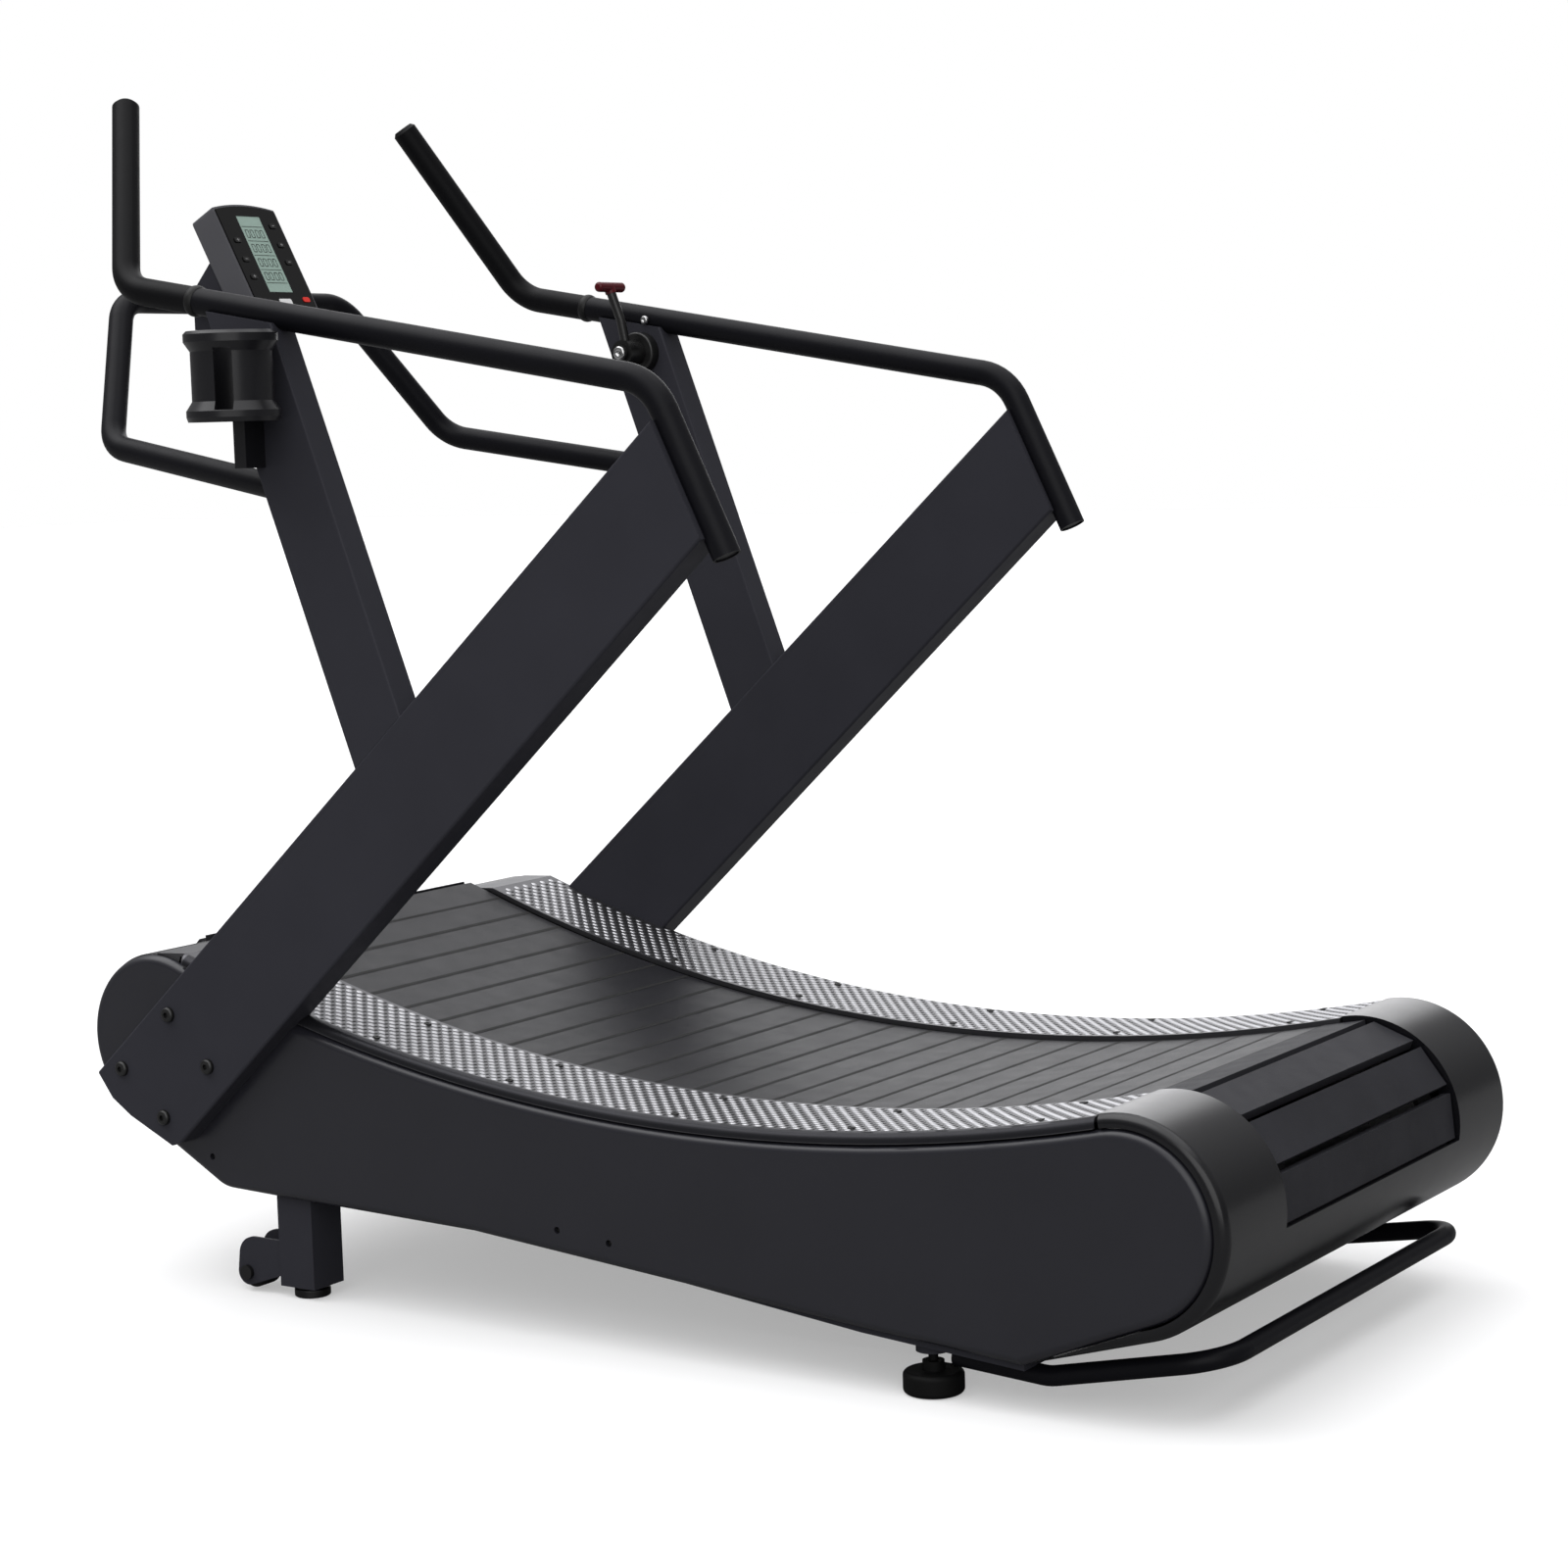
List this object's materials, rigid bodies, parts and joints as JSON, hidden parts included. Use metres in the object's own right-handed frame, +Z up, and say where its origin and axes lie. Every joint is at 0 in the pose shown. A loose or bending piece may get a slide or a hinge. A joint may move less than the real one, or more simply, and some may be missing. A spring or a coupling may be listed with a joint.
{
  "type": "curved manual treadmill",
  "caption": "Curved slat-belt manual treadmill with slanted frame posts, long handrails ending in upright grips, a front loop handlebar, display, bottle holder and resistance lever.",
  "frame": {"origin": "middle of the footprint at floor level, under the resting faces of the screw feet", "axes": "+X the way the runner faces, +Y to the runner's left, +Z up"},
  "size_m": [1.821, 1.0372, 1.6272],
  "materials": {
    "frame_paint": "fine satin powder coat, dark warm grey",
    "plate_steel": "satin black paint",
    "slide_plastic": "waxy",
    "bright_steel": "zinc plated",
    "wheel_rubber": "matte",
    "foot_steel": "zinc plated",
    "foot_rubber": "matte",
    "cover_shell": "fine grained satin",
    "rail_metal": "raised dot tread, satin",
    "cap_gloss": "glossy",
    "grip_rubber": "fine textured",
    "black_plastic": "satin",
    "bezel_gloss": "glossy",
    "screen": "flat display window",
    "button_plastic": "satin",
    "holder_plastic": "satin",
    "chrome_steel": "bright",
    "knob_red": "glossy",
    "slat_rubber": "ribbed and textured",
    "belt_rubber": "matte",
    "drum_alloy": "turned",
    "cast_housing": "painted",
    "flywheel_iron": "turned"
  },
  "bodies": {
    "frame": {"base_beam_left": "frame_paint", "base_beam_right": "frame_paint", "bearing_blocks": "cast_housing", "bottle_holder": "holder_plastic", "carrier_belts": "belt_rubber", "console_bezel": "bezel_gloss", "console_bracket": "frame_paint", "console_screen": "screen", "console_shell": "black_plastic", "cross_members": "frame_paint", "drive_belt": "belt_rubber", "foot_rail_left": "rail_metal", "foot_rail_right": "rail_metal", "front_cover": "cap_gloss", "front_leg_left": "frame_paint", "front_leg_right": "frame_paint", "front_post_left": "frame_paint", "front_post_right": "frame_paint", "glide_rails": "slide_plastic", "handrail_left": "frame_paint", "handrail_right": "frame_paint", "horn_grip_left": "grip_rubber", "horn_grip_right": "grip_rubber", "lever_base": "bright_steel", "loop_bar": "frame_paint", "main_post_left": "frame_paint", "main_post_right": "frame_paint", "post_bolts": "bright_steel", "rail_plugs": "black_plastic", "rear_cover": "cap_gloss", "side_cover_left": "cover_shell", "side_cover_right": "cover_shell", "side_plate_left": "plate_steel", "side_plate_right": "plate_steel", "slats_front_wrap": "slat_rubber", "slats_rear_wrap": "slat_rubber", "slats_return": "slat_rubber", "slats_top_front": "slat_rubber", "slats_top_rear": "slat_rubber", "tail_bar": "frame_paint", "wheel_axles": "bright_steel"},
    "rear_drum": {"rear_drum": "drum_alloy"},
    "front_drum": {"front_drum": "drum_alloy"},
    "flywheel": {"flywheel": "flywheel_iron"},
    "lever": {"lever_arm": "chrome_steel", "lever_knob": "knob_red"},
    "magnet_arm": {"magnet_arm": "bright_steel"},
    "wheel_left": {"transport_wheel_left": "wheel_rubber"},
    "wheel_right": {"transport_wheel_right": "wheel_rubber"},
    "front_foot_left": {"front_foot_left": "foot_steel"},
    "front_foot_right": {"front_foot_right": "foot_steel"},
    "rear_foot_left": {"rear_foot_left": "foot_rubber"},
    "rear_foot_right": {"rear_foot_right": "foot_rubber"},
    "button_1": {"button_1": "button_plastic"},
    "button_2": {"button_2": "button_plastic"},
    "button_3": {"button_3": "button_plastic"},
    "button_4": {"button_4": "button_plastic"},
    "button_5": {"button_5": "button_plastic"},
    "button_6": {"button_6": "button_plastic"}
  },
  "joints": [
    {"name": "front_drum_spin", "type": "hinge", "parent": "frame", "child": "front_drum", "pos_m": [0.713, -0.0564, 0.3428], "axis": [0, 1, 0], "continuous": true},
    {"name": "rear_drum_spin", "type": "hinge", "parent": "frame", "child": "rear_drum", "pos_m": [-0.775, -0.0564, 0.2386], "axis": [0, 1, 0], "continuous": true},
    {"name": "flywheel_spin", "type": "hinge", "parent": "frame", "child": "flywheel", "pos_m": [0.56, -0.3584, 0.3], "axis": [0, 1, 0], "continuous": true},
    {"name": "lever_swing", "type": "hinge", "parent": "frame", "child": "lever", "pos_m": [0.448, -0.4299, 1.269], "axis": [0, 1, 0], "range_deg": [-60, 0]},
    {"name": "magnet_arm_swing", "type": "hinge", "parent": "frame", "child": "magnet_arm", "pos_m": [0.474, -0.3584, 0.2398], "axis": [0, 1, 0], "range_deg": [0, 6]},
    {"name": "wheel_left_spin", "type": "hinge", "parent": "frame", "child": "wheel_left", "pos_m": [0.578, 0.3236, 0.027], "axis": [0, 1, 0], "continuous": true},
    {"name": "wheel_right_spin", "type": "hinge", "parent": "frame", "child": "wheel_right", "pos_m": [0.578, -0.4364, 0.027], "axis": [0, 1, 0], "continuous": true},
    {"name": "front_foot_left_screw", "type": "slide", "parent": "frame", "child": "front_foot_left", "axis": [0, 0, 1], "range_m": [-0.012, 0.003]},
    {"name": "front_foot_right_screw", "type": "slide", "parent": "frame", "child": "front_foot_right", "axis": [0, 0, 1], "range_m": [-0.012, 0.003]},
    {"name": "rear_foot_left_screw", "type": "slide", "parent": "frame", "child": "rear_foot_left", "axis": [0, 0, 1], "range_m": [-0.012, 0.005]},
    {"name": "rear_foot_right_screw", "type": "slide", "parent": "frame", "child": "rear_foot_right", "axis": [0, 0, 1], "range_m": [-0.012, 0.005]},
    {"name": "button_1_press", "type": "slide", "parent": "frame", "child": "button_1", "axis": [0.8829, 0, -0.4695], "range_m": [0, 0.001], "stiffness_N_per_m": 900, "springref_m": -0.001},
    {"name": "button_2_press", "type": "slide", "parent": "frame", "child": "button_2", "axis": [0.8829, 0, -0.4695], "range_m": [0, 0.001], "stiffness_N_per_m": 900, "springref_m": -0.001},
    {"name": "button_3_press", "type": "slide", "parent": "frame", "child": "button_3", "axis": [0.8829, 0, -0.4695], "range_m": [0, 0.001], "stiffness_N_per_m": 900, "springref_m": -0.001},
    {"name": "button_4_press", "type": "slide", "parent": "frame", "child": "button_4", "axis": [0.8829, 0, -0.4695], "range_m": [0, 0.001], "stiffness_N_per_m": 900, "springref_m": -0.001},
    {"name": "button_5_press", "type": "slide", "parent": "frame", "child": "button_5", "axis": [0.8829, 0, -0.4695], "range_m": [0, 0.001], "stiffness_N_per_m": 900, "springref_m": -0.001},
    {"name": "button_6_press", "type": "slide", "parent": "frame", "child": "button_6", "axis": [0.8829, 0, -0.4695], "range_m": [0, 0.001], "stiffness_N_per_m": 900, "springref_m": -0.001}
  ],
  "couplings": [
    {"joint": "rear_drum_spin", "follows": "front_drum_spin", "ratio": 1},
    {"joint": "flywheel_spin", "follows": "front_drum_spin", "ratio": 3},
    {"joint": "magnet_arm_swing", "follows": "lever_swing", "ratio": -0.1}
  ]
}
